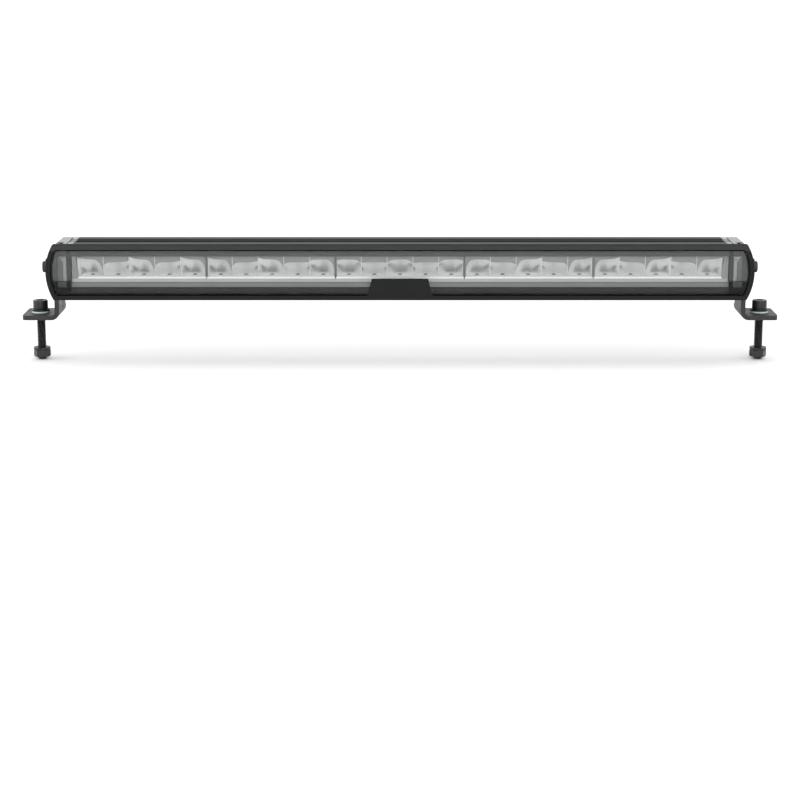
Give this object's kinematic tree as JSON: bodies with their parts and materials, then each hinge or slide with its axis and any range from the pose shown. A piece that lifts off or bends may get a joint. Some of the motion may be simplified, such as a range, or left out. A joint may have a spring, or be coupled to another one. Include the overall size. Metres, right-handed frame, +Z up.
{
  "type": "led light bar",
  "caption": "Long auxiliary driving lamp with a clear lens over half-dome reflectors, a finned housing and tilting L brackets with their bolts.",
  "frame": {"origin": "on the feet's underside, midway between the two vertical bolts that hold the bar to a vehicle", "axes": "+X along the bar, to the right of someone looking at the lens; the lamp shines towards -Y; +Z up"},
  "size_m": [0.6666, 0.0687, 0.1085],
  "materials": {
    "housing": "satin black anodised extrusion",
    "end_cap": "grey cast, satin",
    "bezel": "fine-textured dark grey",
    "lens": "clear polycarbonate, hard coated",
    "seal_rubber": "matt",
    "trim": "matt dark grey",
    "reflector": "satin metallised",
    "white_board": "white solder mask",
    "led": "phosphor under clear silicone",
    "light_guide": "clear acrylic over white, polished",
    "green_board": "green solder mask",
    "coil": "enamelled copper",
    "capacitor": "bare can",
    "chip": "moulded black",
    "brass": "turned",
    "small_screw": "zinc plated",
    "lead": "insulated wire",
    "gland_plastic": "black polyamide",
    "membrane": "porous white film",
    "bracket": "black powder coat, fine texture",
    "black_steel": "black oxide",
    "nylon": "translucent natural nylon"
  },
  "bodies": {
    "left_bracket": {"left_bracket": "bracket", "left_m8_flat_washer": "black_steel", "left_m8_nut": "black_steel", "left_m8_nylon_washer": "nylon", "left_m8_screw": "black_steel", "left_m8_spring_washer": "black_steel"},
    "lamp": {"bezel_screws": "small_screw", "bezel_seal": "seal_rubber", "board_screws": "small_screw", "cable_gland": "gland_plastic", "driver_board": "green_board", "driver_capacitors": "capacitor", "driver_chips": "chip", "driver_coils": "coil", "driver_screws": "small_screw", "driver_spacers": "brass", "end_cap_screws": "small_screw", "front_bezel": "bezel", "gland_dome_nut": "gland_plastic", "gland_lock_nut": "gland_plastic", "gland_seal": "seal_rubber", "housing": "housing", "inner_trim": "trim", "led_board_1": "white_board", "led_board_2": "white_board", "led_board_3": "white_board", "led_board_4": "white_board", "led_board_5": "white_board", "led_chips": "led", "led_leads": "lead", "left_end_cap": "end_cap", "left_end_gasket": "seal_rubber", "left_light_guide": "light_guide", "left_position_board": "white_board", "lens": "lens", "lens_seal": "seal_rubber", "m6_flat_washers": "black_steel", "m6_nylon_washers": "nylon", "m6_screws": "black_steel", "m6_spring_washers": "black_steel", "position_leds": "led", "reflector_1": "reflector", "reflector_2": "reflector", "reflector_3": "reflector", "reflector_4": "reflector", "reflector_5": "reflector", "right_end_cap": "end_cap", "right_end_gasket": "seal_rubber", "right_light_guide": "light_guide", "right_position_board": "white_board", "supply_leads": "lead", "vent_membrane": "membrane", "vent_plug": "gland_plastic"},
    "right_bracket": {"right_bracket": "bracket", "right_m8_flat_washer": "black_steel", "right_m8_nut": "black_steel", "right_m8_nylon_washer": "nylon", "right_m8_screw": "black_steel", "right_m8_spring_washer": "black_steel"}
  },
  "joints": [
    {"name": "tilt", "type": "hinge", "parent": "left_bracket", "child": "lamp", "pos_m": [-0.3023, -0.0104, 0.0463], "axis": [1, 0, 0], "range_deg": [-14, 23]},
    {"name": "right_bracket_turn", "type": "hinge", "parent": "lamp", "child": "right_bracket", "pos_m": [0.3023, -0.0104, 0.0463], "axis": [1, 0, 0], "range_deg": [-23, 14]}
  ],
  "couplings": [
    {"joint": "right_bracket_turn", "follows": "tilt", "ratio": -1}
  ]
}
